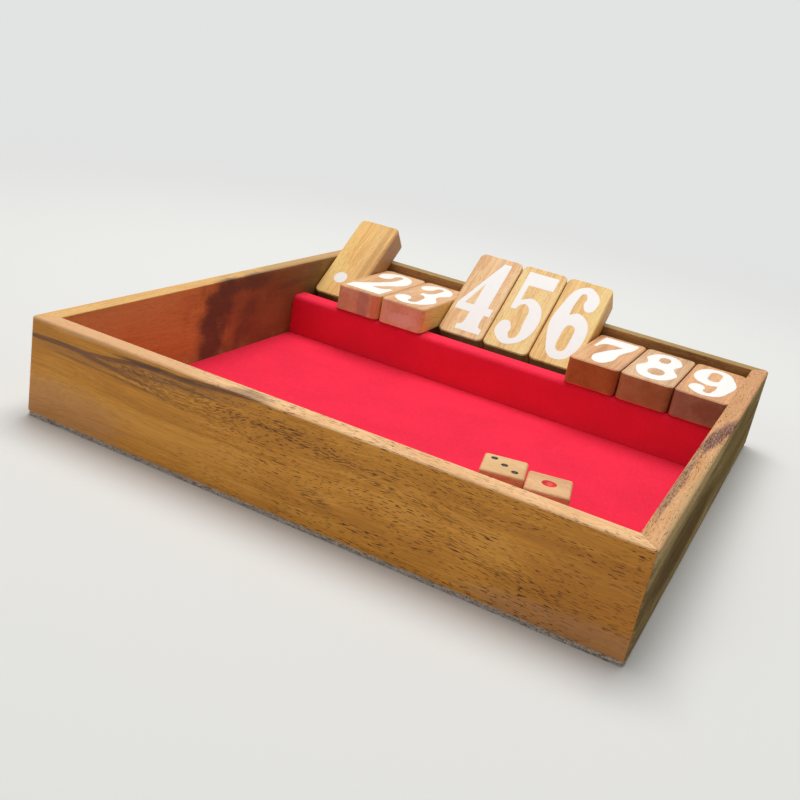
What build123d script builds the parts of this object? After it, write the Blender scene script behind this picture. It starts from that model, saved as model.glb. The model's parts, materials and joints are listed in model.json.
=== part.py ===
"""A nine-number shut-the-box game: a mitred wooden tray, a felt-covered rail, nine number
tiles that flip on one rod, and two wooden dice. Millimetres, +Z up, +Y to the back.
The origin is the centre of the tray's underside."""

import os
from math import asin, atan2, degrees, hypot

from build123d import *

# Tray
box_length = 226.0  # outside, left to right
box_depth = 226.0  # outside, front to back
box_height = 37.8  # underside to rim
wall = 7.0
base_thickness = 1.7
base_inset = 0.3  # the base panel's edge stands this far inside the walls' outer faces
corner_round = 1.5  # sanded outside corners
rim_round = 1.0  # sanded outer edges of the rim
inner_rim_round = 0.4  # its inner edges, left crisper
sole_easing = 0.4  # the walls' bottom edges

# Felt
felt_thickness = 1.5
felt_trim = 0.2  # gap between the felt's edges and the walls

# Number tiles, described as they lie flat, pointing forwards
tile_count = 9
raised_tiles = (1, 4, 5, 6)  # the ones leaning back on the rim
tile_length = 52.5
tile_thickness = 12.0
tile_drop = 3.1  # rim to the top of a flat tile
tile_gap = 0.6  # between neighbours; half of it is left beside each end wall
tile_corner = 3.0
tile_easing = 0.5
seat_gap = 0.3  # between a movable piece and what it lies on

# Hinge rod
rod_diameter = 4.0
rod_to_tail = 17.0  # rod axis to the tile's back end
bore_clearance = 0.08  # radial, between the rod and the tiles
socket_clearance = 0.03  # radial, between the rod and its sockets
socket_depth = 4.0  # into each end wall
rod_end_play = 0.2  # at each end of the rod
swing_clearance = 2.9  # between a tile's swinging tail and the back wall

# Rail that the flat tiles lie on
rail_thickness = 9.0  # the wood, without its felt
tile_overhang = 0.8  # how far the flat tiles stick out over the rail's felt
rail_round = 0.8  # the wood's top edges

# Dice
die_size = 16.0
die_round = 1.1
pip_sides = 12
pip_radius = 1.25
pip_depth = 0.5
pip_spread = 4.1  # die centre to the outer pips' rows
ace_radius = 2.7
ace_depth = 0.8
left_die_from_right = 57.45  # die centre to the right wall's inner face
left_die_from_front = 53.7  # die centre to the front wall's inner face
left_die_turn = 14.0  # degrees
right_die_from_right = 40.1
right_die_from_front = 51.8
right_die_turn = 13.0

cut_margin = 1.0  # how far a cutter or a mitre prism reaches past what it cuts

# Derived places
inner_length = box_length - 2 * wall
inner_back = box_depth / 2 - wall
inner_front = -inner_back
inner_right = inner_length / 2
felt_top = base_thickness + felt_thickness

tile_pitch = inner_length / tile_count
tile_width = tile_pitch - tile_gap
tile_top = box_height - tile_drop
tile_bottom = tile_top - tile_thickness
half_tile = tile_thickness / 2

swing_radius = hypot(rod_to_tail, half_tile)
rod_y = inner_back - swing_clearance - swing_radius
rod_z = tile_top - half_tile
tile_back = rod_y + rod_to_tail
tile_front = tile_back - tile_length

rail_front = tile_front + tile_overhang
rail_wood_front = rail_front + felt_thickness
rail_wood_back = rail_wood_front + rail_thickness
rail_top = tile_bottom - seat_gap
rail_wood_top = rail_top - felt_thickness

# A raised tile leans on the rim's rounded inner edge. The lean is the angle of its length
# above the horizontal, found from the centre of that rounding as the rod sees it.
edge_y = inner_back + inner_rim_round - rod_y
edge_z = box_height - inner_rim_round - rod_z
edge_bearing = atan2(edge_z, edge_y)
edge_reach = half_tile + seat_gap + inner_rim_round
lean = degrees(edge_bearing + asin(edge_reach / hypot(edge_y, edge_z)))
flip_angle = 180.0 - lean


def block(x0, x1, y0, y1, z0, z1):
    """A plain box between two corners."""
    centre = ((x0 + x1) / 2, (y0 + y1) / 2, (z0 + z1) / 2)
    return Pos(*centre) * Box(x1 - x0, y1 - y0, z1 - z0)


def frame_ring():
    """The four walls as one ring, with its sanded edges, before the mitres are cut."""
    outer = block(
        -box_length / 2, box_length / 2, -box_depth / 2, box_depth / 2, base_thickness, box_height
    )
    outer = fillet(outer.edges().filter_by(Axis.Z), corner_round)
    low, high = base_thickness - cut_margin, box_height + cut_margin
    ring = outer - block(-inner_right, inner_right, inner_front, inner_back, low, high)
    ring = fillet(ring.faces().sort_by(Axis.Z)[-1].outer_wire().edges(), rim_round)
    ring = fillet(ring.faces().sort_by(Axis.Z)[-1].inner_wires()[0].edges(), inner_rim_round)
    bottom = ring.faces().sort_by(Axis.Z)[0]
    return chamfer(bottom.outer_wire().edges(), sole_easing)


def mitre_wedge(angle):
    """The part of the plan that belongs to the wall facing along angle, as a tall prism:
    a trapezium bounded by the two 45 degree mitre planes beside that wall."""
    half_across, half_along = box_length / 2, box_depth / 2
    if angle in (0, 180):
        half_across, half_along = half_along, half_across
    far = half_along + cut_margin
    near = half_along - 2 * wall
    wide = half_across + cut_margin
    narrow = half_across - 2 * wall
    plan = Polyline((-wide, far), (wide, far), (narrow, near), (-narrow, near), close=True)
    prism = extrude(make_face(plan), amount=box_height + cut_margin)
    return Rot(0, 0, angle - 90) * prism


def rod_socket(side):
    """The blind hole in an end wall that holds one end of the rod. side is -1 or 1."""
    radius = rod_diameter / 2 + socket_clearance
    centre_x = side * (inner_right + socket_depth / 2)
    return Pos(centre_x, rod_y, rod_z) * Rot(0, 90, 0) * Cylinder(radius, socket_depth)


def walls():
    """The four mitred walls by name. The end walls carry the rod's sockets."""
    ring = frame_ring()
    return {
        "back_wall": ring & mitre_wedge(90),
        "front_wall": ring & mitre_wedge(270),
        "left_wall": (ring & mitre_wedge(180)) - rod_socket(-1),
        "right_wall": (ring & mitre_wedge(0)) - rod_socket(1),
    }


def base_panel():
    """The thin panel under the walls."""
    half_x = box_length / 2 - base_inset
    half_y = box_depth / 2 - base_inset
    panel = block(-half_x, half_x, -half_y, half_y, 0, base_thickness)
    return fillet(panel.edges().filter_by(Axis.Z), corner_round)


def play_felt():
    """The sheet of felt that the dice roll on, from the front wall to the rail."""
    half_x = inner_right - felt_trim
    return block(-half_x, half_x, inner_front + felt_trim, rail_front, base_thickness, felt_top)


def rail():
    """The wooden rail between the playing area and the tile well, its top edges sanded."""
    bar = block(
        -inner_right, inner_right, rail_wood_front, rail_wood_back, base_thickness, rail_wood_top
    )
    top_edges = bar.faces().sort_by(Axis.Z)[-1].edges().filter_by(Axis.X)
    return fillet(top_edges, rail_round)


def rail_felt():
    """The felt over the rail's front and top, bent round its front edge and cut off where
    the rail's back edge starts to round."""
    half_x = inner_right - felt_trim
    cut_back = rail_wood_back - rail_round
    outer = block(-half_x, half_x, rail_front, cut_back, base_thickness, rail_top)
    front_edge = outer.edges().filter_by(Axis.X).sort_by(Axis.Z)[-2:].sort_by(Axis.Y)[0]
    return fillet(front_edge, rail_round + felt_thickness) - rail()


def hinge_rod():
    """The steel rod through all the tiles, held in the end walls."""
    length = inner_length + 2 * (socket_depth - rod_end_play)
    rod = Pos(0, rod_y, rod_z) * Rot(0, 90, 0) * Cylinder(rod_diameter / 2, length)
    return chamfer(rod.edges().filter_by(GeomType.CIRCLE), rod_diameter / 10)


def flat_tile(number):
    """One tile as it lies on the rail: rounded corners, eased faces, and the rod's bore."""
    left = -inner_right + (number - 1) * tile_pitch + tile_gap / 2
    tile = block(left, left + tile_width, tile_front, tile_back, tile_bottom, tile_top)
    tile = fillet(tile.edges().filter_by(Axis.Z), tile_corner)
    faces = tile.faces().filter_by(Axis.Z)
    tile = chamfer(faces[0].edges() + faces[-1].edges(), tile_easing)
    bore = Pos(left + tile_width / 2, rod_y, rod_z) * Rot(0, 90, 0)
    bore_length = tile_width + 2 * cut_margin
    return tile - bore * Cylinder(rod_diameter / 2 + bore_clearance, bore_length)


def number_tile(number):
    """A tile where it rests: flat on the rail, or flipped back against the rim."""
    tile = flat_tile(number)
    if number in raised_tiles:
        tile = tile.rotate(Axis((0, rod_y, rod_z), (-1, 0, 0)), flip_angle)
    return tile


def pip_places(count):
    """Where a face's pips are, as steps of the pip spread from the face's centre."""
    corners = [(-1, 1), (1, -1), (1, 1), (-1, -1)]
    middle = [(0, 0)]
    sides = [(-1, 0), (1, 0)]
    return {
        1: middle,
        2: corners[:2],
        3: corners[:2] + middle,
        4: corners,
        5: corners + middle,
        6: corners + sides,
    }[count]


def pip_cutter(radius, depth):
    """What a pip takes away: a flat-bottomed prism, close to round, from its depth below
    z = 0 to as far above."""
    return Pos(0, 0, -depth) * extrude(RegularPolygon(radius, pip_sides), amount=2 * depth)


def die(counts):
    """A wooden die centred on the origin. counts are the pips on the top, bottom, front,
    back, right and left faces; opposite faces add up to seven."""
    turns = [Rot(0, 0, 0), Rot(180, 0, 0), Rot(90, 0, 0), Rot(-90, 0, 0), Rot(0, 90, 0)]
    turns.append(Rot(0, -90, 0))
    body = Box(die_size, die_size, die_size)
    body = fillet(body.edges(), die_round)
    cutters = []
    for count, turn in zip(counts, turns):
        radius, depth = (ace_radius, ace_depth) if count == 1 else (pip_radius, pip_depth)
        for step_x, step_y in pip_places(count):
            place = Pos(step_x * pip_spread, step_y * pip_spread, die_size / 2)
            cutters.append(turn * place * pip_cutter(radius, depth))
    return body - cutters


def placed_die(counts, from_right, from_front, turn):
    """A die lying on the felt."""
    height = felt_top + seat_gap + die_size / 2
    place = Pos(inner_right - from_right, inner_front + from_front, height)
    return place * Rot(0, 0, turn) * die(counts)


def build():
    """Every piece by node name."""
    pieces = walls()
    pieces["base_panel"] = base_panel()
    pieces["play_felt"] = play_felt()
    pieces["rail"] = rail()
    pieces["rail_felt"] = rail_felt()
    pieces["hinge_rod"] = hinge_rod()
    for number in range(1, tile_count + 1):
        pieces[f"number_tile_{number}"] = number_tile(number)
    pieces["die_left"] = placed_die(
        (3, 4, 2, 5, 1, 6), left_die_from_right, left_die_from_front, left_die_turn
    )
    pieces["die_right"] = placed_die(
        (1, 6, 4, 3, 5, 2), right_die_from_right, right_die_from_front, right_die_turn
    )
    return pieces


os.makedirs("parts", exist_ok=True)
for name, piece in build().items():
    export_step(piece, f"parts/{name}.step")

print(f"rod axis y {rod_y:.3f} z {rod_z:.3f}, flip angle {flip_angle:.3f} degrees")
print(f"rail front {rail_front:.3f} top {rail_top:.3f}, felt top {felt_top:.3f}")
print(f"tile front {tile_front:.3f} back {tile_back:.3f} bottom {tile_bottom:.3f}")
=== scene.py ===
"""Looks of the shut the box game, in metres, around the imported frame. +Y is the back of the
tray, +Z is up, and the origin is the centre of the tray's underside."""

import json
from math import cos, pi, radians, sin

import bmesh
import bpy
from mathutils import Matrix, Vector

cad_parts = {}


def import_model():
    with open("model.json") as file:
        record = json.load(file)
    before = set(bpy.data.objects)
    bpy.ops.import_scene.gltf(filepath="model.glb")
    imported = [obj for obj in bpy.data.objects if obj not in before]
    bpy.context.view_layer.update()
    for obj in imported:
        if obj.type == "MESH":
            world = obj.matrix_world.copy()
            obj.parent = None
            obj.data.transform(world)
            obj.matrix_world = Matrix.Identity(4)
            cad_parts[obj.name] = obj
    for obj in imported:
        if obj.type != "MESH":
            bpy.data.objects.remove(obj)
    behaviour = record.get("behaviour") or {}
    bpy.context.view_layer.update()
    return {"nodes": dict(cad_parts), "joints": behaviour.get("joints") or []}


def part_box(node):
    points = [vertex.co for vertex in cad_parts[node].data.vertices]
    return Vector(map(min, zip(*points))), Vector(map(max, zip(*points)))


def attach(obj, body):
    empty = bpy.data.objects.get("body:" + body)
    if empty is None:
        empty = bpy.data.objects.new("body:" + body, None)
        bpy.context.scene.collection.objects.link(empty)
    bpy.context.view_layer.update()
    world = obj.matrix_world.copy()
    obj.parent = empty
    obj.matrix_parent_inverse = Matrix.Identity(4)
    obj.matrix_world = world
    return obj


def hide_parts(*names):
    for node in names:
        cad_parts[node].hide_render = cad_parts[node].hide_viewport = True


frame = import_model()

MM = 0.001

# Sizes read from the frame
FLAT_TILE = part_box("number_tile_2")  # one that lies flat, for the length and height of all
BASE_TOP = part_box("base_panel")[1].z
FELT_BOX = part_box("play_felt")
RAIL_FELT_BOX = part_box("rail_felt")
TILE_JOINTS = {joint["child"]: joint for joint in frame["joints"] if joint["type"] == "hinge"}
ROD = Vector(TILE_JOINTS["tile_1"]["pos_m"])
TILES = range(1, 10)


def flip_of(number):
    """How far a tile is flipped back at rest, in radians, which is as far as its joint can
    lay it down again."""
    return radians(-TILE_JOINTS[f"tile_{number}"]["range_deg"][0])


# ---------------------------------------------------------------- node graphs

SOFT = 0.35  # how softly a placed area fades out


class Graph:
    """A node material with short ways to add nodes. Places are in millimetres."""

    MIX_INPUTS = (0, 6, 7)  # a Mix node's factor and two colours, among its inputs of all types
    MIX_OUTPUT = 2

    def __init__(self, name, **shader):
        self.material = bpy.data.materials.new(name)
        self.material.use_nodes = True
        self.tree = self.material.node_tree
        self.shader = self.tree.nodes["Principled BSDF"]
        self.set(self.shader, **shader)

    def feed(self, socket, value):
        """Links another node's output to an input, or writes a plain value there."""
        if isinstance(value, bpy.types.NodeSocket):
            self.tree.links.new(value, socket)
        else:
            socket.default_value = value

    def fill(self, node, *values):
        """Feeds a node's first inputs."""
        for socket, value in zip(node.inputs, values):
            self.feed(socket, value)

    def set(self, node, **inputs):
        """Feeds a node's inputs by name, with _ for a space."""
        for name, value in inputs.items():
            self.feed(node.inputs[name.replace("_", " ")], value)

    def node(self, kind, settings=None, **inputs):
        """A new node with these properties and inputs."""
        node = self.tree.nodes.new(kind)
        for name, value in (settings or {}).items():
            setattr(node, name, value)
        self.set(node, **inputs)
        return node

    def math(self, operation, a, b=0.0, clamp=False):
        node = self.node("ShaderNodeMath", {"operation": operation, "use_clamp": clamp})
        self.fill(node, a, b)
        return node.outputs[0]

    def vector(self, operation, a, b=(0, 0, 0)):
        node = self.node("ShaderNodeVectorMath", {"operation": operation})
        self.fill(node, a, b)
        return node.outputs["Value" if operation == "LENGTH" else "Vector"]

    def separate(self, vector):
        return self.node("ShaderNodeSeparateXYZ", Vector=vector).outputs

    def combine(self, x, y, z):
        return self.node("ShaderNodeCombineXYZ", X=x, Y=y, Z=z).outputs[0]

    def mix(self, factor, a, b, blend="MIX"):
        """From colour a to colour b by factor."""
        settings = {"data_type": "RGBA", "blend_type": blend, "clamp_factor": True}
        node = self.node("ShaderNodeMix", settings)
        for index, value in zip(self.MIX_INPUTS, (factor, a, b)):
            if isinstance(value, tuple):
                value = (*value, 1.0)
            self.feed(node.inputs[index], value)
        return node.outputs[self.MIX_OUTPUT]

    def shaded(self, colour, shine):
        """A colour made darker or lighter by a factor."""
        return self.mix(1.0, colour, self.combine(shine, shine, shine), "MULTIPLY")

    def step(self, value, low, high, out_low=0.0, out_high=1.0):
        """A smooth step: out_low where value is low or beyond, out_high where it is high."""
        node = self.node("ShaderNodeMapRange", {"interpolation_type": "SMOOTHSTEP"})
        self.fill(node, value, low, high, out_low, out_high)
        return node.outputs[0]

    def swing(self, value, width):
        """A value from 0 to 1 made to swing about 0, width in all."""
        return self.math("MULTIPLY", self.math("SUBTRACT", value, 0.5), width)

    def ramp(self, value, stops):
        """A colour for each value, from stops of (value, colour)."""
        node = self.node("ShaderNodeValToRGB", Fac=value)
        elements = node.color_ramp.elements
        while len(elements) < len(stops):
            elements.new(0.5)
        for element, (place, colour) in zip(elements, stops):
            element.position = place
            element.color = (*colour, 1.0)
        return node.outputs[0]

    def noise(self, place, size, seed=0.0, detail=2.0, roughness=0.5):
        """Noise whose features are size = (x, y, z) millimetres large."""
        node = self.node(
            "ShaderNodeTexNoise", {"noise_dimensions": "4D"}, W=seed, Scale=1.0,
            Vector=self.vector("DIVIDE", place, size), Detail=detail, Roughness=roughness,
        )
        return node.outputs["Fac"]

    def place(self):
        """The point on the surface, in millimetres, in the shared frame at rest."""
        coordinates = self.node("ShaderNodeTexCoord").outputs["Object"]
        return self.vector("MULTIPLY", coordinates, (1000, 1000, 1000))

    def normal(self):
        """The way the surface faces, in the same frame."""
        return self.node("ShaderNodeTexCoord").outputs["Normal"]

    def turned(self, vector, centre, angle):
        """vector turned about the X axis through centre."""
        settings = {"rotation_type": "X_AXIS"}
        return self.node(
            "ShaderNodeVectorRotate", settings, Vector=vector, Center=centre, Angle=angle
        ).outputs[0]

    def patch(self, place, centre, size, edge, tilt, soft=SOFT):
        """1 inside an ellipsoid with these half sizes, 0 outside. edge makes its outline
        ragged, and soft is how far it fades to either side, as a share of its size."""
        node = self.node(
            "ShaderNodeMapping", {"vector_type": "TEXTURE"}, Vector=place, Location=centre,
            Rotation=[radians(angle) for angle in tilt], Scale=size,
        )
        reach = self.math("ADD", self.vector("LENGTH", node.outputs[0]), edge)
        return self.step(reach, 1 + soft, 1 - soft)

    def bump(self, height, strength, distance):
        """Small relief on the shader, height times distance deep."""
        node = self.node("ShaderNodeBump", Height=height, Strength=strength, Distance=distance)
        self.set(self.shader, Normal=node.outputs[0])


# ---------------------------------------------------------------- wood

# Colours are linear. Shades are a figure's dark, middle and light colour.

GOLDEN = ((0.58, 0.235, 0.032), (0.69, 0.290, 0.038), (0.76, 0.345, 0.057))
RUSSET = ((0.54, 0.305, 0.080), (0.59, 0.360, 0.097), (0.62, 0.395, 0.115))
# The right wall's broad faces: painted shade with a painted green reflection, darker than its wood
SHADED_OLIVE = ((0.22, 0.160, 0.072), (0.32, 0.235, 0.105), (0.42, 0.315, 0.145))
BROWN = ((0.34, 0.150, 0.050), (0.46, 0.215, 0.070), (0.54, 0.270, 0.095))
STREAK = (0.14, 0.062, 0.042)
SMOKE = (0.125, 0.088, 0.050)
PORE = (0.13, 0.044, 0.011)
SHADE_STOPS = (0.36, 0.5, 0.64)  # the tones at which a figure has its three shades

# What the figure is made of, in millimetres: its size along the grain, and twice across it
WANDER_SIZE = (75, 26, 26)
BAND_SIZE = (120, 4.5, 4.5)
LINE_SIZE = (45, 0.7, 0.7)
CLOUD_SIZE = (22, 22, 22)
FIBRE_SIZE = (9, 0.28, 0.28)
DASH_SIZE = (2.7, 0.27, 0.27)
CROWD_SIZE = (30, 7, 7)
EDGE_SIZE = (26, 1.8, 1.8)

BAND_SWING, LINE_SWING, CLOUD_WEIGHT, TONE_BASE = 0.75, 0.65, 0.4, 0.3  # the tone's parts

# Where a noise or a direction, from 0 to 1, starts to count, and where it counts in full
STREAKY = (0.34, 0.58)  # fine lines in the areas
CROWDED = (0.28, 0.50)  # places where the wood has pores
OPEN = (0.585, 0.665)  # dashes that are pores
CROWD_OPEN = (0.48, 0.58)  # the same in a placed crowd of them
END_GRAIN = (0.6, 0.85)  # faces cut across the grain, which show no pores
TURNED = (0.5, 0.8)  # faces with shades of their own
LIT_RIM = (0.12, 0.5)  # a wall's rim where it faces up; its paler shades are painted light from above
TILE_END = (0.45, 0.8)
TILE_FACE = (0.35, 0.7)
SHINY = (0.3, 0.7)  # fibres, from dull to bright
MATT = (0.2, 0.8)  # fibres, from smooth to rough

DULL, BRIGHT = 0.90, 1.07  # what the colour is multiplied by along the fibres
SMOOTHER, ROUGHER = 0.06, 0.10  # how far their roughness is from the wood's
FIBRE_RELIEF = 0.5  # the fibres' height, where an open pore is 1 deep
FEW_PORES = 0.2  # the share of the pores that is there before pore_reach starts

DARKER = (1.0, 1.5, 1.9)  # how much of the spread red, green and blue take when darker
LIGHTER = (0.6, 0.9, 1.3)  # the same when lighter
LIGHTEST = 0.9  # no channel of a lighter shade is above this

# How far |x| and |y| differ, in millimetres, where a mitre's glue starts and where it is full
GLUE_OUTER, GLUE_INNER = 0.22, 0.08
GLUE_STRENGTH = 0.35


def shades(colour, spread=0.16):
    """A figure about one colour: darker and redder, the colour, lighter."""
    dark = tuple(c * (1 - spread * k) for c, k in zip(colour, DARKER))
    light = tuple(min(c * (1 + spread * k), LIGHTEST) for c, k in zip(colour, LIGHTER))
    return dark, colour, light


def facing(g, normal, axis):
    """How squarely a surface faces along an axis, either way or, with a minus, backwards."""
    part = g.separate(normal)[axis[-1]]
    if axis.startswith("-"):
        return g.math("MULTIPLY", part, -1.0)
    return g.math("ABSOLUTE", part)


def glue_line(g, colour, x, y):
    """The glue line of the mitres, where |x| and |y| are the same in a square tray."""
    gap = g.math("SUBTRACT", g.math("ABSOLUTE", x), g.math("ABSOLUTE", y))
    glue = g.step(g.math("ABSOLUTE", gap), GLUE_OUTER, GLUE_INNER)
    return g.mix(g.math("MULTIPLY", glue, GLUE_STRENGTH), colour, PORE)


def wood(
    name, grain, seed, figure, faces=(), areas=(), crowds=(), pores=1.0, pore_reach=None,
    flip=0.0, sway=12.0, edge_size=EDGE_SIZE, ragged=1.4, soft=SOFT, streaks=0.38,
    roughness=0.42, specular=0.22, seams=False,
):
    """Oiled hardwood.

    grain is the axis, "X" or "Y", that the fibres run along, sway the width in which they
    wander, and figure their shades. A tile is turned back about the rod by flip, and its
    grain with it.
    faces are other shades for what faces along an axis, as facing tells it: (axis, low,
    high, shades), from where they start to where they are full.
    areas are placed colours: (colour, centre, half sizes, tilt in degrees, strength). ragged
    and edge_size say how far and how finely their outlines stray, soft how gently they fade
    out, and streaks how much of the fine grain shows through them.
    crowds are places full of pores: (centre, half sizes, tilt in degrees, strength). pores
    is the strength of the scattered ones, which come in along the grain from one end of
    pore_reach to the other.
    seams adds the glue lines of the mitres."""
    g = Graph(name, Roughness=roughness, Specular_IOR_Level=specular)
    place, normal = g.place(), g.normal()
    if flip:
        place = g.turned(place, ROD / MM, flip)
        normal = g.turned(normal, (0, 0, 0), flip)
    x, y, z = g.separate(place)[:3]
    along = place if grain == "X" else g.combine(y, x, z)

    # Everything across the grain wanders slowly along it. Each noise has a seed of its own.
    wander = g.swing(g.noise(along, WANDER_SIZE, seed, detail=1.0), sway)
    wavy = g.vector("ADD", along, g.combine(0.0, wander, wander))
    bands = g.noise(wavy, BAND_SIZE, seed + 1.7)
    lines = g.noise(wavy, LINE_SIZE, seed + 3.1, roughness=0.6)
    clouds = g.noise(place, CLOUD_SIZE, seed + 4.4, detail=1.0)
    fibres = g.noise(wavy, FIBRE_SIZE, seed + 5.3, roughness=0.7)

    # The figure's tone, and its shades on each face
    tone = g.math("ADD", g.swing(bands, BAND_SWING), g.swing(lines, LINE_SWING))
    tone = g.math("ADD", tone, g.math("MULTIPLY", clouds, CLOUD_WEIGHT))
    tone = g.math("ADD", tone, TONE_BASE)
    colour = g.ramp(tone, list(zip(SHADE_STOPS, figure)))
    for axis, low, high, face_figure in faces:
        face_colour = g.ramp(tone, list(zip(SHADE_STOPS, face_figure)))
        colour = g.mix(g.step(facing(g, normal, axis), low, high), colour, face_colour)

    # Placed areas, streaky along the grain
    edge = g.swing(g.noise(along, edge_size, seed + 6.1, detail=3.0, roughness=0.6), ragged)
    streaky = g.step(lines, *STREAKY, 1 - streaks, 1.0)
    for shade, centre, size, tilt, strength in areas:
        inside = g.math("MULTIPLY", g.patch(place, centre, size, edge, tilt, soft), strength)
        colour = g.mix(g.math("MULTIPLY", inside, streaky), colour, shade)

    # Fine fibres, and open pores, which are dashes on every face but the end grain
    colour = g.shaded(colour, g.step(fibres, *SHINY, DULL, BRIGHT))
    dashes = g.noise(wavy, DASH_SIZE, seed + 7.9, detail=1.0, roughness=0.4)
    crowded = g.step(g.noise(along, CROWD_SIZE, seed + 9.2, detail=1.0), *CROWDED)
    open_pores = g.math("MULTIPLY", g.step(dashes, *OPEN), crowded)
    if pore_reach:
        share = g.step(g.separate(along)[0], *pore_reach, FEW_PORES, 1.0)
        open_pores = g.math("MULTIPLY", open_pores, share)
    open_pores = g.math("MULTIPLY", open_pores, pores, clamp=True)
    for centre, size, tilt, strength in crowds:
        inside = g.math("MULTIPLY", g.patch(place, centre, size, edge, tilt), strength)
        more = g.math("MULTIPLY", inside, g.step(dashes, *CROWD_OPEN))
        open_pores = g.math("MAXIMUM", open_pores, more)
    end_grain = g.step(facing(g, normal, grain), *END_GRAIN)
    open_pores = g.mix(end_grain, open_pores, g.combine(0.0, 0.0, 0.0))
    colour = g.mix(open_pores, colour, PORE)
    if seams:
        colour = glue_line(g, colour, x, y)

    finish = g.step(fibres, *MATT, roughness - SMOOTHER, roughness + ROUGHER)
    g.set(g.shader, Base_Color=colour, Roughness=finish)
    relief = g.math("SUBTRACT", g.math("MULTIPLY", fibres, FIBRE_RELIEF), open_pores)
    g.bump(relief, strength=0.35, distance=0.08 * MM)
    return g.material


def fibreboard():
    """The base panel: pressed brown board, rough and grey with fluff at its sawn edge."""
    g = Graph("fibreboard", Roughness=0.85, Specular_IOR_Level=0.2)
    place = g.place()
    lumps = g.noise(place, (2.2, 2.2, 0.6), seed=2.0, detail=3.0, roughness=0.7)
    specks = g.noise(place, (0.55, 0.55, 0.4), seed=5.0, detail=2.0, roughness=0.8)
    colour = g.ramp(lumps, [
        (0.36, (0.20, 0.15, 0.115)), (0.5, (0.52, 0.42, 0.335)), (0.64, (0.70, 0.60, 0.50)),
    ])
    colour = g.mix(g.step(specks, 0.54, 0.66), colour, (0.66, 0.60, 0.54))
    colour = g.mix(g.step(specks, 0.46, 0.36), colour, (0.08, 0.058, 0.048))
    g.set(g.shader, Base_Color=colour)
    g.bump(g.math("ADD", lumps, specks), strength=0.9, distance=0.3 * MM)
    return g.material


def felt():
    """Red felt: matted short fibres, a soft bloom at a low angle and faint clouds."""
    g = Graph(
        "red_felt", Roughness=0.95, Specular_IOR_Level=0.1, Sheen_Weight=0.12,
        Sheen_Roughness=0.4, Sheen_Tint=(1.0, 0.28, 0.36, 1.0),
    )
    place = g.place()
    clouds = g.noise(place, (26, 26, 26), seed=1.0, detail=3.0, roughness=0.55)
    mat = g.noise(place, (0.9, 0.9, 0.9), seed=4.0, detail=4.0, roughness=0.75)
    hairs = g.noise(place, (0.22, 0.22, 0.22), seed=8.0, detail=2.0, roughness=0.8)
    tone = g.math("ADD", g.math("MULTIPLY", mat, 0.5), g.math("MULTIPLY", hairs, 0.5))
    colour = g.ramp(tone, [
        (0.3, (0.82, 0.015, 0.048)), (0.5, (0.95, 0.027, 0.074)), (0.7, (0.98, 0.046, 0.105)),
    ])
    g.set(g.shader, Base_Color=g.shaded(colour, g.step(clouds, 0.3, 0.7, 0.94, 1.04)))
    g.bump(g.math("ADD", mat, hairs), strength=0.6, distance=0.18 * MM)
    return g.material


def steel():
    """Drawn steel rod with fine scratches round it."""
    g = Graph("rod_steel", Metallic=1.0, Roughness=0.3)
    place = g.place()
    marks = g.noise(place, (0.12, 6, 6), seed=3.0, detail=3.0, roughness=0.6)
    colour = g.ramp(marks, [(0.3, (0.46, 0.46, 0.47)), (0.7, (0.62, 0.62, 0.63))])
    g.set(g.shader, Base_Color=colour, Roughness=g.step(marks, 0.3, 0.7, 0.22, 0.4))
    return g.material


def paint(name, colour, worn=0.0):
    """Flat printed or dipped paint, slightly uneven, and darker by worn where it is thin."""
    g = Graph(name, Roughness=0.5, Specular_IOR_Level=0.4)
    place = g.place()
    blotches = g.noise(place, (3, 3, 3), seed=6.0, detail=3.0, roughness=0.6)
    thin = tuple(c * (1 - worn) for c in colour)
    g.set(g.shader, Base_Color=g.ramp(blotches, [(0.3, thin), (0.55, colour)]))
    g.bump(g.noise(place, (0.5, 0.5, 0.5), seed=2.0), strength=0.15, distance=0.05 * MM)
    return g.material


def dress(node, material):
    """Gives a CAD node its material."""
    mesh = frame["nodes"][node].data
    mesh.materials.clear()
    mesh.materials.append(material)


LEVEL = (0, 0, 0)  # the tilt of an area that has none


def end_of(node, corner, axis):
    """Where a node's box starts (corner 0) or ends (corner 1) along an axis, in millimetres."""
    return round(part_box(node)[corner][axis] / MM, 3)


FRONT = end_of("front_wall", 0, 1)  # the front wall's outer face
INSIDE = end_of("left_wall", 1, 0)  # the left wall's inner face
RIGHT = end_of("right_wall", 1, 0)  # the right wall's outer face


def rim(*colour):
    """The rim's shades, for a wall's faces that face up. Where they are paler than the wall's wood,
    that is painted light.
    """
    return ("Z", *LIT_RIM, shades(colour, 0.10))


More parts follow.
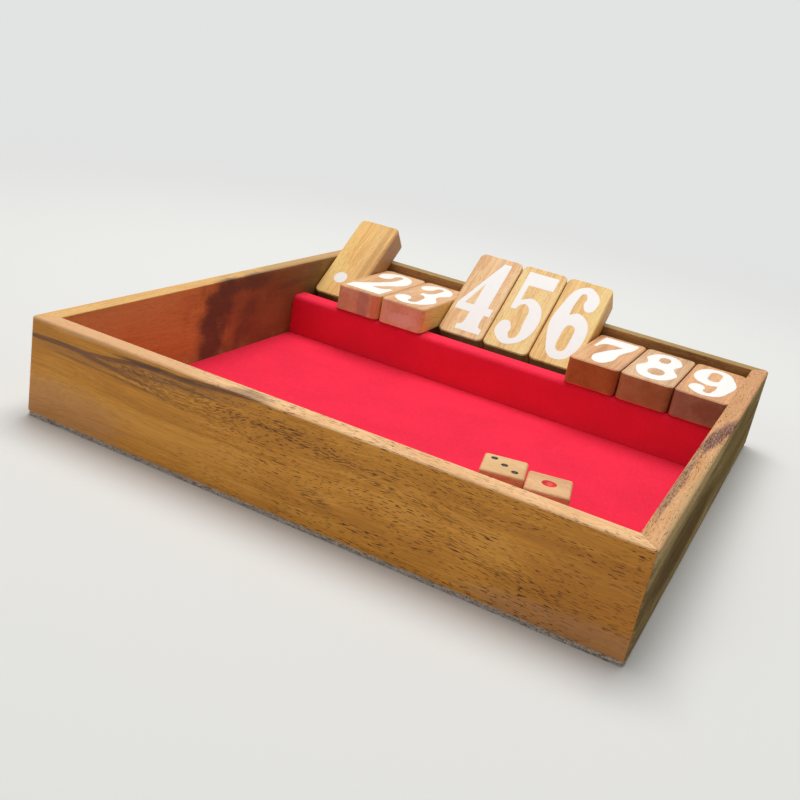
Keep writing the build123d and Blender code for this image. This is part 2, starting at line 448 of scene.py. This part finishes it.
def front_wall_wood():
    """Golden, with dark streaks at the top left and crowds of pores under and beside them."""
    return wood(
        "front_wall_wood", "X", 3.0, GOLDEN, seams=True, faces=[rim(0.90, 0.54, 0.26)],
        pore_reach=(-75, 5), roughness=0.46,
        areas=[
            (STREAK, (-103, FRONT, 31.3), (15, 9, 0.9), (0, -1, 0), 0.85),
            (STREAK, (-86, FRONT, 30.9), (15, 9, 0.6), (0, 4, 0), 0.8),
            (STREAK, (-72, FRONT, 33.4), (19, 9, 0.8), (0, -7, 0), 0.85),
            (STREAK, (-54, FRONT, 35.0), (19, 9, 1.0), (0, -1, 0), 0.9),
            (STREAK, (-34, -112, 36.4), (16, 9, 0.9), (0, -4, 0), 0.85),
            (STREAK, (-21, -111, 37.6), (9, 3, 0.9), LEVEL, 0.4),
            (STREAK, (-72, FRONT, 29.2), (23, 9, 0.6), (0, 4, 0), 0.7),
            (STREAK, (-60, FRONT, 31.4), (12, 9, 0.5), (0, -3, 0), 0.6),
            (STREAK, (-62, FRONT, 26.6), (14, 9, 0.4), (0, 3, 0), 0.5),
            ((0.30, 0.135, 0.060), (-66, FRONT, 31.6), (42, 9, 2.4), (0, -3, 0), 0.45),
            (STREAK, (-44, FRONT, 32.6), (16, 9, 0.5), (0, 2, 0), 0.6),
            (STREAK, (-88, FRONT, 27.6), (12, 9, 0.4), (0, 2, 0), 0.45),
            ((0.70, 0.375, 0.175), (-80, -110, 38), (46, 6, 1.6), LEVEL, 0.8),
            ((0.47, 0.170, 0.021), (110, FRONT, 13), (28, 5, 21), LEVEL, 0.75),
            ((0.50, 0.26, 0.15), (96, FRONT, 5), (30, 9, 5), LEVEL, 0.45),
            ((0.56, 0.27, 0.13), (-98, FRONT, 8), (28, 9, 9), LEVEL, 0.5),
        ],
        crowds=[
            ((-50, FRONT, 30), (30, 9, 4.5), (0, 2, 0), 0.55),
            ((-28, FRONT, 30.3), (8, 9, 1.8), (0, 4, 0), 0.95),
            ((8, FRONT, 29.2), (26, 9, 1.3), (0, 3, 0), 0.85),
            ((-4, FRONT, 32.4), (9, 9, 1.0), (0, 8, 0), 0.9),
            ((8, FRONT, 13), (7, 9, 2.2), (0, 10, 0), 0.8),
            ((40, FRONT, 25), (22, 9, 1.4), (0, 4, 0), 0.6),
            ((72, FRONT, 14), (30, 9, 2.0), (0, 6, 0), 0.55),
        ],
    )


def left_wall_wood():
    """Russet in front and dark behind inside the tray, with a smoky patch between."""
    return wood(
        "left_wall_wood", "Y", 11.0, RUSSET, seams=True, pores=0.3, sway=22, roughness=0.5,
        edge_size=(10, 9, 9), ragged=1.7, soft=0.55, streaks=0.1,
        faces=[("-X", *TURNED, shades((0.56, 0.262, 0.072))), rim(0.75, 0.43, 0.14)],
        areas=[
            ((0.66, 0.450, 0.150), (INSIDE, -72, 33), (2, 38, 6), LEVEL, 0.7),
            ((0.17, 0.088, 0.034), (INSIDE, 54, 20), (2, 60, 44), LEVEL, 0.86),
            ((0.48, 0.290, 0.110), (-109.5, 66, 38), (4, 62, 2), LEVEL, 0.75),
            ((0.26, 0.130, 0.055), (INSIDE, 8, 20), (2, 20, 20), LEVEL, 0.72),
            (SMOKE, (INSIDE, -16, 13), (2, 9.5, 17), LEVEL, 0.94),
            (SMOKE, (INSIDE, -11, 28), (2, 9, 12), (-18, 0, 0), 0.94),
            (SMOKE, (INSIDE, 7, 34.5), (2, 20, 4.0), LEVEL, 0.85),
            (SMOKE, (INSIDE, 12, 20), (2, 9, 4), (30, 0, 0), 0.5),
            (SMOKE, (INSIDE, 9, 10), (2, 6, 6), (20, 0, 0), 0.45),
            (SMOKE, (INSIDE, 50, 29), (2, 14, 1.6), (3, 0, 0), 0.5),
            ((0.40, 0.22, 0.095), (INSIDE, 33, 16), (2, 10, 7), LEVEL, 0.4),
        ],
    )


def right_wall_wood():
    """Golden wood, olive on its broad faces for painted shade and a painted green reflection,
    with a painted highlight under the outer top edge and a dark streak on its rim.
    """
    return wood(
        "right_wall_wood", "Y", 17.0, GOLDEN, seams=True, pores=0.7,
        faces=[("X", *TURNED, SHADED_OLIVE), rim(0.72, 0.40, 0.20)], specular=0.0,
        areas=[
            ((0.30, 0.20, 0.16), (107.3, -60, 38), (1.3, 30, 3), LEVEL, 0.65),
            ((0.20, 0.13, 0.135), (109.4, -4, 38), (2.6, 26, 3), (0, 0, -7), 0.92),
            ((0.62, 0.34, 0.18), (109, 66, 38), (5, 50, 3), LEVEL, 0.6),
            # A paler band under the outer top edge: painted highlight
            ((0.52, 0.37, 0.19), (RIGHT, -62, 35), (2.5, 66, 4), LEVEL, 0.9),
            ((0.120, 0.078, 0.036), (RIGHT, -56, 17.5), (2.5, 62, 10.5), LEVEL, 0.92),
            ((0.20, 0.135, 0.055), (RIGHT, 52, 20), (2.5, 50, 13), LEVEL, 0.7),
        ],
        crowds=[
            ((107.6, -56, 38), (1.5, 40, 3), LEVEL, 0.6),
            ((109.7, -6, 38), (2.6, 26, 3), (0, 0, -9), 0.9),
        ],
    )


def dress_case():
    """The tray's four walls, its base, the rail and the rod."""
    dress("front_wall", front_wall_wood())
    dress("left_wall", left_wall_wood())
    dress("right_wall", right_wall_wood())
    dress("back_wall", wood(
        "back_wall_wood", "X", 23.0, BROWN, seams=True, pores=0.6, faces=[rim(0.37, 0.228, 0.055)]
    ))
    # The rail's wood is dark: painted shade for the gap under the standing tiles, where it shows
    dress("rail", wood("rail_wood", "X", 29.0, shades((0.20, 0.095, 0.038)), pores=0.5))
    dress("base_panel", fibreboard())
    dress("hinge_rod", steel())


WARM_FACE = (0.74, 0.43, 0.22)
TILE_SEED, SEED_STEP = 31.0, 5.0  # no two tiles have the same grain
THROUGH_LENGTH, THROUGH_HEIGHT = 60, 14  # half sizes of a stripe, past those of any tile
END_DEPTH = 1.5  # half depth of an area on a tile's end
TILE_LOOKS = {  # each tile's colours: its broad faces, its ends and its sides
    # The standing tiles 1, 4, 5 and 6 have paler faces, partly painted light, and dark ends that face
    # down into the gap: end grain and painted shade. The dark ends of 7, 8 and 9 are partly painted
    # shade.
    1: ((0.91, 0.55, 0.19), (0.46, 0.235, 0.095), (0.84, 0.42, 0.10)),
    2: (WARM_FACE, (0.80, 0.58, 0.33), (0.80, 0.50, 0.20)),
    3: (WARM_FACE, (0.86, 0.65, 0.40), (0.92, 0.65, 0.19)),
    4: ((0.89, 0.57, 0.29), (0.46, 0.250, 0.105), (0.76, 0.46, 0.18)),
    5: ((0.91, 0.61, 0.25), (0.48, 0.265, 0.110), (0.78, 0.48, 0.18)),
    6: ((0.89, 0.57, 0.21), (0.46, 0.245, 0.100), (0.86, 0.47, 0.13)),
    7: ((0.72, 0.39, 0.19), (0.43, 0.195, 0.050), (0.50, 0.24, 0.10)),
    8: ((0.72, 0.45, 0.25), (0.43, 0.265, 0.105), (0.50, 0.25, 0.11)),
    9: ((0.75, 0.40, 0.19), (0.42, 0.290, 0.165), (0.50, 0.24, 0.11)),
}


def tile_areas(number, left):
    """The darker or paler streaks of single tiles. Their x is from the tile's left side, and
    their z from its middle."""
    front, back = FLAT_TILE[0].y / MM, FLAT_TILE[1].y / MM
    middle_y = (front + back) / 2
    middle_z = (FLAT_TILE[0].z + FLAT_TILE[1].z) / 2 / MM

    def stripe(colour, x, half_width, strength):
        """Right through the tile, from end to end."""
        size = (half_width, THROUGH_LENGTH, THROUGH_HEIGHT)
        return (colour, (left + x, middle_y, middle_z), size, LEVEL, strength)

    def on_end(colour, x, z, half_width, half_height, strength):
        """On the front end alone."""
        size = (half_width, END_DEPTH, half_height)
        return (colour, (left + x, front, middle_z + z), size, LEVEL, strength)

    return {
        1: [
            stripe((0.56, 0.32, 0.13), 18.4, 1.6, 0.7),
            stripe((0.84, 0.52, 0.22), 14.5, 2.5, 0.4),
            stripe((0.45, 0.24, 0.12), 22.8, 1.6, 0.8),
        ],
        2: [
            on_end((0.44, 0.29, 0.24), 14.5, 0, 3.0, 9, 0.6),
            on_end((0.70, 0.28, 0.10), 21.0, 0, 2.0, 9, 0.6),
        ],
        3: [on_end((0.90, 0.76, 0.60), 11.5, -1.8, 7.5, 2.4, 0.9)],
        4: [stripe((0.66, 0.38, 0.22), 12.5, 1.4, 0.55)],
        8: [on_end((0.34, 0.130, 0.045), 15, 0, 5, 5, 0.35)],
        9: [
            on_end((0.38, 0.24, 0.15), 3.5, 0, 4, 9, 0.6),
            on_end((0.28, 0.110, 0.050), 15.5, 0.5, 6, 4, 0.6),
        ],
    }.get(number, [])


def dress_tiles():
    """Each tile is cut from another piece of wood, its fibres along its length."""
    for number in TILES:
        face, end, side = TILE_LOOKS[number]
        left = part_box(f"number_tile_{number}")[0].x / MM
        dress(f"number_tile_{number}", wood(
            f"tile_{number}_wood", "Y", TILE_SEED + SEED_STEP * number, shades(side), pores=0.28,
            flip=flip_of(number), areas=tile_areas(number, left),
            faces=[("Y", *TILE_END, shades(end, 0.12)), ("Z", *TILE_FACE, shades(face))],
        ))


# ---------------------------------------------------------------- meshes


def add_mesh(name, mesh, materials, body):
    """Adds a new piece that moves with a body, and returns it."""
    piece = bpy.data.objects.new(name, mesh)
    bpy.context.scene.collection.objects.link(piece)
    for material in materials:
        mesh.materials.append(material)
    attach(piece, body)
    return piece


SHEET_STEPS = 40  # lengths that a sheet is divided into along X


def extrude_profile(name, profile, x_low, x_high):
    """A closed skin from a (y, z) outline repeated along X, with its ends filled."""
    bm = bmesh.new()
    rings = []
    for index in range(SHEET_STEPS + 1):
        x = x_low + (x_high - x_low) * index / SHEET_STEPS
        rings.append([bm.verts.new((x, y, z)) for y, z in profile])
    count = len(profile)
    for near, far in zip(rings, rings[1:]):
        for i in range(count):
            j = (i + 1) % count
            bm.faces.new((near[i], near[j], far[j], far[i]))
    bm.faces.new(list(reversed(rings[0])))
    bm.faces.new(rings[-1])
    bmesh.ops.recalc_face_normals(bm, faces=bm.faces)
    mesh = bpy.data.meshes.new(name)
    bm.to_mesh(mesh)
    bm.free()
    return mesh


def arc(centre, radius, start, end, steps):
    """Points of an arc in the (y, z) plane, angles in degrees from +Y towards +Z."""
    angles = [radians(start + (end - start) * i / steps) for i in range(steps + 1)]
    return [(centre[0] + radius * cos(a), centre[1] + radius * sin(a)) for a in angles]


def smooth(mesh, angle=35):
    """Rounds the shading over every edge flatter than angle."""
    mesh.shade_smooth()
    mesh.set_sharp_from_angle(angle=radians(angle))


FELT_EDGE = 0.35 * MM  # rounding of the felt's cut edges
EDGE_STEPS = 4  # divisions of a rounded edge
FLOOR_STEPS = 30  # divisions of the floor's felt from front to back


def floor_felt(material):
    """The sheet that the dice roll on, with softly rounded cut edges."""
    low, high = FELT_BOX
    r = FELT_EDGE
    y0, y1, z0, z1 = low.y, high.y, low.z, high.z
    profile = [(y0, z0), (y1, z0)]
    profile += arc((y1 - r, z1 - r), r, 0, 90, EDGE_STEPS)
    profile += [(y1 + (y0 - y1) * i / FLOOR_STEPS, z1) for i in range(1, FLOOR_STEPS)]
    profile += arc((y0 + r, z1 - r), r, 90, 180, EDGE_STEPS)
    mesh = extrude_profile("floor_felt_sheet", profile, low.x, high.x)
    smooth(mesh)
    piece = add_mesh("floor_felt_sheet", mesh, [material], "tray")
    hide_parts("play_felt")


RAIL_BEND = 0.8 * MM  # inner radius of the felt's bend, the rail's rounded edge
RISE_STEPS = 6  # divisions of the rail felt's front
OUTER_BEND_STEPS, INNER_BEND_STEPS = 10, 8


def rail_cover(material):
    """The sheet over the rail's front and top: up the front, round the edge and back."""
    low, high = RAIL_FELT_BOX
    thick = FELT_BOX[1].z - BASE_TOP
    outer = RAIL_BEND + thick
    centre = (low.y + outer, high.z - outer)
    r = FELT_EDGE
    rise = centre[1] - BASE_TOP
    profile = [(low.y + thick, BASE_TOP)]
    profile += [(low.y, BASE_TOP + rise * i / RISE_STEPS) for i in range(RISE_STEPS)]
    profile += arc(centre, outer, 180, 90, OUTER_BEND_STEPS)
    profile += arc((high.y - r, high.z - r), r, 90, 0, EDGE_STEPS)
    profile += [(high.y, high.z - thick)]
    profile += arc(centre, RAIL_BEND, 90, 180, INNER_BEND_STEPS)
    mesh = extrude_profile("rail_felt_sheet", profile, low.x, high.x)
    smooth(mesh)
    piece = add_mesh("rail_felt_sheet", mesh, [material], "tray")
    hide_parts("rail_felt")


# ---------------------------------------------------------------- numerals

# Each is an outline and its holes, in millimetres on a tile, x from its middle and y from the
# numeral's foot. A knot is smooth, or a corner where it has a third value. A hole is an oval,
# (x, y, half width, half height), or a list of knots. 6 is 9 turned upside down.

C = "corner"
HEIGHT = 45.4  # of every numeral
NINE = [
    (-0.4, HEIGHT), (8.2, 33.5), (8.8, 15.0), (1.4, 0), (-5.4, 2.8), (-7.6, 9.2), (-4.4, 14.4),
    (-1.2, 11.0), (-1.3, 6.4), (0.5, 4.2), (2.6, 9.4), (3.0, 18.6, C), (-1.8, 16.6),
    (-9.2, 30.6),
]
NINE_HOLE = (-0.5, 32.4, 2.7, 8.0)
NUMERALS = {
    1: ([
        (-8.6, 0, C), (8.6, 0, C), (8.6, 2.8, C), (5.2, 4.0), (4.2, 7.0, C), (4.2, HEIGHT, C),
        (1.2, HEIGHT, C), (-2.6, 40.4), (-8.2, 37.8, C), (-8.2, 35.2, C), (-3.8, 35.6, C),
        (-3.8, 7.0, C), (-4.9, 4.0), (-8.6, 2.8, C),
    ], []),
    2: ([
        (-9.2, 0, C), (9.2, 0, C), (9.4, 14.0, C), (7.6, 14.0, C), (5.4, 10.6), (-0.4, 10.0, C),
        (3.6, 16.6), (9.2, 31.6), (0.2, HEIGHT), (-7.4, 41.8), (-9.0, 35.4), (-5.4, 29.6),
        (-2.0, 33.0), (-1.8, 39.0), (0.2, 41.6), (2.2, 34.0), (-1.6, 20.6), (-9.2, 7.0, C),
    ], []),
    3: ([
        (-0.2, HEIGHT), (8.2, 35.0), (5.2, 24.2), (9.2, 12.4), (0.2, 0), (-6.9, 3.0),
        (-9.0, 8.8), (-5.8, 13.6), (-2.3, 10.4), (-1.7, 5.6), (0.3, 3.9), (2.4, 12.2),
        (-0.4, 20.4), (-2.8, 21.0, C), (-2.8, 25.0, C), (-0.6, 25.6), (1.7, 34.4),
        (0.0, 41.5), (-1.7, 39.6), (-2.1, 35.0), (-5.4, 31.4), (-8.6, 35.4), (-6.8, 41.6),
    ], []),
    4: ([
        (6.3, HEIGHT, C), (6.3, 16.4, C), (9.2, 16.4, C), (9.2, 11.6, C), (6.3, 11.6, C),
        (6.3, 6.2, C), (7.0, 4.0), (9.0, 2.9, C), (9.0, 0, C), (-4.0, 0, C), (-4.0, 2.9, C),
        (-1.9, 4.0), (-1.2, 6.2, C), (-1.2, 11.6, C), (-9.3, 11.6, C), (-9.3, 15.6, C),
        (2.4, HEIGHT, C),
    ], [[(-5.8, 16.4, C), (-1.2, 16.4, C), (-1.2, 30.6, C)]]),
    5: ([
        (-7.4, HEIGHT, C), (8.0, HEIGHT, C), (8.0, 37.0, C), (-4.6, 37.0, C), (-4.6, 27.2, C),
        (1.6, 29.4), (9.2, 15.0), (-0.2, 0), (-7.0, 2.8), (-9.0, 8.6), (-5.8, 13.4),
        (-2.3, 10.2), (-1.8, 5.4), (0.2, 3.7), (2.3, 14.8), (-0.8, 25.2), (-3.6, 24.0),
        (-4.8, 21.0, C), (-7.4, 21.0, C),
    ], []),
    7: ([
        (-7.9, HEIGHT, C), (8.3, HEIGHT, C), (8.3, 37.6), (5.3, 22.0), (4.5, 6.4), (0.4, 0),
        (-3.8, 7.0), (-1.6, 20.4), (3.4, 33.8, C), (-3.2, 34.2), (-6.0, 31.2),
        (-6.9, 25.0, C), (-8.3, 25.0, C),
    ], []),
    8: ([
        (-0.4, HEIGHT), (7.5, 35.0), (6.0, 24.4), (9.3, 12.8), (0.4, 0), (-8.6, 12.8),
        (-6.2, 24.4), (-8.2, 35.0),
    ], [(-0.4, 34.8, 2.5, 5.0), (0.4, 12.8, 3.7, 5.6)]),
    9: (NINE, [NINE_HOLE]),
    6: (
        [(-x, HEIGHT - y, *rest) for x, y, *rest in NINE],
        [(-NINE_HOLE[0], HEIGHT - NINE_HOLE[1], *NINE_HOLE[2:])],
    ),
}
PRINT_THICKNESS = 0.05 * MM
PRINT_SINK = 0.01 * MM  # the paint's underside lies this far inside the wood
CURVE_STEPS = 8  # divisions of an outline between two knots
WELD = 0.001 * MM  # points nearer than this are one


def add_loop(curve, knots):
    """A closed Bezier loop through the knots."""
    loop = curve.splines.new("BEZIER")
    loop.bezier_points.add(len(knots) - 1)
    loop.use_cyclic_u = True
    for point, knot in zip(loop.bezier_points, knots):
        point.co = (knot[0] * MM, (knot[1] - HEIGHT / 2) * MM, 0)
        kind = "VECTOR" if len(knot) > 2 else "AUTO"
        point.handle_left_type = kind
        point.handle_right_type = kind


def oval(x, y, half_width, half_height):
    """The four knots of an oval."""
    return [
        (x, y + half_height), (x + half_width, y), (x, y - half_height), (x - half_width, y),
    ]


def flat_shape(name, loops):
    """A thin plate of paint whose outline is these loops, sunk a little below z = 0."""
    curve = bpy.data.curves.new(name, "CURVE")
    curve.dimensions = "2D"
    curve.fill_mode = "BOTH"
    curve.resolution_u = CURVE_STEPS
    curve.extrude = (PRINT_THICKNESS + PRINT_SINK) / 2
    for loop in loops:
        add_loop(curve, loop)
    holder = bpy.data.objects.new(name, curve)
    bpy.context.scene.collection.objects.link(holder)
    bpy.context.view_layer.update()
    graph = bpy.context.evaluated_depsgraph_get()
    mesh = bpy.data.meshes.new_from_object(holder.evaluated_get(graph))
    bpy.data.objects.remove(holder)
    mesh.name = name
    bm = bmesh.new()
    bm.from_mesh(mesh)
    bmesh.ops.remove_doubles(bm, verts=bm.verts, dist=WELD)
    bmesh.ops.recalc_face_normals(bm, faces=bm.faces)
    bm.to_mesh(mesh)
    bm.free()
    mesh.transform(Matrix.Translation((0, 0, (PRINT_THICKNESS - PRINT_SINK) / 2)))
    return mesh


def numeral_shape(number, name):
    """The plate of a numeral."""
    outline, holes = NUMERALS[number]
    loops = [outline]
    for hole in holes:
        is_knots = isinstance(hole[0], tuple)
        loops.append(hole if is_knots else oval(*hole))
    return flat_shape(name, loops)


def tile_face(number, upper, x=0.0, along=0.0):
    """Where a print goes on a tile's upper or lower face: its centre is moved by x to the
    right and by along towards the print's top, and the tile's flip is applied."""
    low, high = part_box(f"number_tile_{number}")
    middle_x = (low.x + high.x) / 2
    flat_low, flat_high = FLAT_TILE
    middle_y = (flat_low.y + flat_high.y) / 2
    if upper:
        face = Matrix.Translation((middle_x + x, middle_y + along, flat_high.z))
    else:
        face = Matrix.Translation((middle_x + x, middle_y - along, flat_low.z))
        face = face @ Matrix.Rotation(pi, 4, "X")
    turn = Matrix.Rotation(-flip_of(number), 4, "X")
    return Matrix.Translation(ROD) @ turn @ Matrix.Translation(-ROD) @ face


DOT_RADIUS = 3.5 * MM
DOT_FROM_LEFT = 9.25 * MM  # the tile's left side to the dot's middle
DOT_FROM_TOP = 40.5 * MM  # the tile's end, at the top of its print, to the dot's middle


def dot_on_tile_1(name):
    """The dot's plate, and its place on the lower face."""
    low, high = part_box("number_tile_1")
    x = DOT_FROM_LEFT - (high.x - low.x) / 2
    along = (FLAT_TILE[1].y - FLAT_TILE[0].y) / 2 - DOT_FROM_TOP
    plate = flat_shape(name, [oval(0, HEIGHT / 2, DOT_RADIUS / MM, DOT_RADIUS / MM)])
    return plate, tile_face(1, False, x, along)


def number_prints(material):
    """The white numerals. The lower face of tile 1 has only a plain dot."""
    for number in TILES:
        for upper in (True, False):
            name = f"numeral_{number}_{'upper' if upper else 'lower'}"
            if number == 1 and not upper:
                mesh, place = dot_on_tile_1(name)
            else:
                mesh = numeral_shape(number, name)
                place = tile_face(number, upper)
            mesh.transform(place)
            add_mesh(name, mesh, [material], f"tile_{number}")


# ---------------------------------------------------------------- dice

# Sizes in millimetres: those of the CAD dice, but for slightly wider or deeper pips
DIE_SIZE = 16.0
DIE_ROUND = 1.1
DIE_ROUND_STEPS = 5
DIE_SMOOTH = 30  # degrees between faces over which the shading stays round
PIP_SPREAD = 4.1  # from a face's middle to the rows of pips
PIP_RADIUS = 1.3
PIP_DEPTH = 0.55
ACE_RADIUS = 2.7
ACE_DEPTH = 1.1
BALL_ROUND, BALL_DOWN = 32, 24  # divisions of the balls that cut the pips
PIP_PAINT, ACE_PAINT = 1, 2  # places of the paints among a die's materials, after its wood
DIE_SIDE = (0.76, 0.47, 0.23)

# Piece, node, body, turn in degrees, the top's colour, the grain's seed, and the counts on the
# top, bottom, front, back, right and left
DICE = (
    ("dotted_die_left", "die_left", "left_die", 14.0, (0.77, 0.48, 0.22), 71.0, (3, 4, 2, 5, 1, 6)),
    ("dotted_die_right", "die_right", "right_die", 13.0, (0.77, 0.45, 0.22), 73.0, (1, 6, 4, 3, 5, 2)),
)


def pip_places(count):
    """Where a face's pips are, as steps of the pip spread from its middle."""
    corners = [(-1, 1), (1, -1), (1, 1), (-1, -1)]
    return {
        1: [(0, 0)],
        2: corners[:2],
        3: corners[:2] + [(0, 0)],
        4: corners,
        5: corners + [(0, 0)],
        6: corners + [(-1, 0), (1, 0)],
    }[count]


def rounded_cube():
    """The die's body: a cube whose edges and corners are round, with flat faces."""
    bm = bmesh.new()
    bmesh.ops.create_cube(bm, size=DIE_SIZE)
    bmesh.ops.bevel(
        bm, geom=bm.edges[:] + bm.verts[:], offset=DIE_ROUND, segments=DIE_ROUND_STEPS,
        profile=0.5, affect="EDGES",
    )
    mesh = bpy.data.meshes.new("die_blank")
    bm.to_mesh(mesh)
    bm.free()
    return mesh


def pip_cutters(counts):
    """One ball for each pip, sunk into its face as deep as the pip. counts are in the order
    of DICE."""
    turns = [
        Matrix.Identity(4), Matrix.Rotation(pi, 4, "X"), Matrix.Rotation(pi / 2, 4, "X"),
        Matrix.Rotation(-pi / 2, 4, "X"), Matrix.Rotation(pi / 2, 4, "Y"),
        Matrix.Rotation(-pi / 2, 4, "Y"),
    ]
    bm = bmesh.new()
    for count, turn in zip(counts, turns):
        radius, depth = (ACE_RADIUS, ACE_DEPTH) if count == 1 else (PIP_RADIUS, PIP_DEPTH)
        ball = (radius**2 + depth**2) / (2 * depth)  # cuts a pip of this radius and depth
        for x, y in pip_places(count):
            middle = Vector((x * PIP_SPREAD, y * PIP_SPREAD, DIE_SIZE / 2 - depth + ball))
            place = turn @ Matrix.Translation(middle)
            made = bmesh.ops.create_uvsphere(
                bm, u_segments=BALL_ROUND, v_segments=BALL_DOWN, radius=ball, matrix=place
            )
            faces = {face for vert in made["verts"] for face in vert.link_faces}
            for face in faces:
                face.material_index = ACE_PAINT if count == 1 else PIP_PAINT
    mesh = bpy.data.meshes.new("die_pips")
    bm.to_mesh(mesh)
    bm.free()
    return mesh


def dimpled_die(name, node, body, turn, counts, materials):
    """A wooden die with round painted dimples, lying where its CAD node is."""
    blank = bpy.data.objects.new(name, rounded_cube())
    cutter = bpy.data.objects.new("cutter", pip_cutters(counts))
    for item in (blank, cutter):
        bpy.context.scene.collection.objects.link(item)
        for material in materials:
            item.data.materials.append(material)
    cut = blank.modifiers.new("pips", "BOOLEAN")
    cut.operation = "DIFFERENCE"
    cut.solver = "EXACT"
    cut.object = cutter
    bpy.context.view_layer.update()
    graph = bpy.context.evaluated_depsgraph_get()
    mesh = bpy.data.meshes.new_from_object(blank.evaluated_get(graph))
    bpy.data.objects.remove(blank)
    bpy.data.objects.remove(cutter)
    low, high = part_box(node)
    place = Matrix.Translation((low + high) / 2)
    mesh.transform(place @ Matrix.Rotation(radians(turn), 4, "Z") @ Matrix.Scale(MM, 4))
    mesh.name = name
    smooth(mesh, DIE_SMOOTH)
    piece = add_mesh(name, mesh, [], body)
    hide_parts(node)


def dice():
    """Both dice, with the same paints."""
    black = paint("pip_black", (0.008, 0.007, 0.007))
    red = paint("ace_red", (0.77, 0.020, 0.020), 0.25)
    for name, node, body, turn, top, seed, counts in DICE:
        material = wood(
            f"{name}_wood", "X", seed, shades(DIE_SIDE), pores=0.3, sway=3,
            faces=[("Z", *TURNED, shades(top, 0.12))],
        )
        dimpled_die(name, node, body, turn, counts, [material, black, red])


# ---------------------------------------------------------------- studio

PALE = (0.76, 0.77, 0.765)  # the background
FLOOR = (0.78, 0.79, 0.785)  # the floor's own colour
FLOOR_RADIUS = 9.0
FLOOR_SIDES = 96
FADE_START, FADE_END = 0.25, 0.75  # metres from the tray's middle, floor to background
SKY_LEVEL = 0.31  # the world's strength as light; where it is seen it is 1

# Name, place, side of the square in metres, power in watts, and colour
LAMPS = (
    ("overhead", (-0.12, 0.26, 1.27), 0.85, 15.3, (1.0, 0.98, 0.95)),
    ("front_fill", (-0.6, -1.4, 0.9), 1.0, 2.9, (1.0, 1.0, 1.0)),
)

SENSOR, FOCAL_LENGTH = 36.0, 44.75  # in millimetres, as the camera takes them
EYE = (0.138164, -0.361949, 0.153859)
HEADING = 23.29  # degrees to the left of +Y
DIP = 20.25  # degrees below the horizontal
ROLL = 10.97  # degrees of the photograph's own tilt
NEAREST = 0.01  # what is nearer to the camera isn't drawn


def floor():
    """A pale floor that fades into the pale background far away."""
    bm = bmesh.new()
    bmesh.ops.create_circle(bm, cap_ends=True, segments=FLOOR_SIDES, radius=FLOOR_RADIUS)
    mesh = bpy.data.meshes.new("floor")
    bm.to_mesh(mesh)
    bm.free()
    ground = bpy.data.objects.new("floor", mesh)
    bpy.context.scene.collection.objects.link(ground)
    g = Graph("floor", Roughness=0.9, Specular_IOR_Level=0.1)
    g.set(g.shader, Base_Color=(*FLOOR, 1.0))
    coordinates = g.node("ShaderNodeTexCoord").outputs["Object"]
    far = g.step(g.vector("LENGTH", coordinates), FADE_START, FADE_END)
    glow = g.node("ShaderNodeEmission", Color=(*PALE, 1.0), Strength=1.0)
    blend = g.node("ShaderNodeMixShader", Fac=far)
    g.tree.links.new(g.shader.outputs[0], blend.inputs[1])
    g.tree.links.new(glow.outputs[0], blend.inputs[2])
    g.tree.links.new(blend.outputs[0], g.tree.nodes["Material Output"].inputs["Surface"])
    mesh.materials.append(g.material)


def world():
    """Pale where it is seen, straight, mirrored or through glass, and else a weak even light."""
    sky = bpy.data.worlds.new("studio")
    sky.use_nodes = True
    tree = sky.node_tree
    background = tree.nodes["Background"]
    background.inputs["Color"].default_value = (*PALE, 1.0)
    path = tree.nodes.new("ShaderNodeLightPath")
    seen = path.outputs["Is Camera Ray"]
    for kind in ("Is Glossy Ray", "Is Transmission Ray"):
        either = tree.nodes.new("ShaderNodeMath")
        either.operation = "MAXIMUM"
        tree.links.new(seen, either.inputs[0])
        tree.links.new(path.outputs[kind], either.inputs[1])
        seen = either.outputs[0]
    strength = tree.nodes.new("ShaderNodeMapRange")
    strength.inputs["To Min"].default_value = SKY_LEVEL
    strength.inputs["To Max"].default_value = 1.0
    tree.links.new(seen, strength.inputs["Value"])
    tree.links.new(strength.outputs[0], background.inputs["Strength"])
    bpy.context.scene.world = sky


def lamp(name, place, size, power, colour):
    """A square soft light that shines at the tray."""
    light = bpy.data.lights.new(name, "AREA")
    light.shape = "SQUARE"
    light.size = size
    light.energy = power
    light.color = colour
    item = bpy.data.objects.new(name, light)
    item.location = place
    item.rotation_euler = (-Vector(place)).to_track_quat("-Z", "Y").to_euler()
    bpy.context.scene.collection.objects.link(item)


def camera():
    """The photograph's viewing angle on the tray."""
    eye = bpy.data.cameras.new("camera")
    eye.sensor_width = SENSOR
    eye.lens = FOCAL_LENGTH
    eye.clip_start = NEAREST
    item = bpy.data.objects.new("camera", eye)
    heading = Matrix.Rotation(radians(HEADING), 4, "Z")
    pitch = Matrix.Rotation(radians(90 - DIP), 4, "X")
    roll = Matrix.Rotation(radians(ROLL), 4, "Z")
    item.matrix_world = Matrix.Translation(EYE) @ heading @ pitch @ roll
    bpy.context.scene.collection.objects.link(item)
    bpy.context.scene.camera = item


def build():
    """The studio, the dressed CAD nodes, and the pieces that replace or lie on them."""
    camera()
    world()
    floor()
    for values in LAMPS:
        lamp(*values)
    dress_case()
    dress_tiles()
    red = felt()
    floor_felt(red)
    rail_cover(red)
    number_prints(paint("numeral_white", (0.93, 0.93, 0.92), 0.02))
    dice()
    bpy.context.scene.view_settings.view_transform = "Standard"


build()
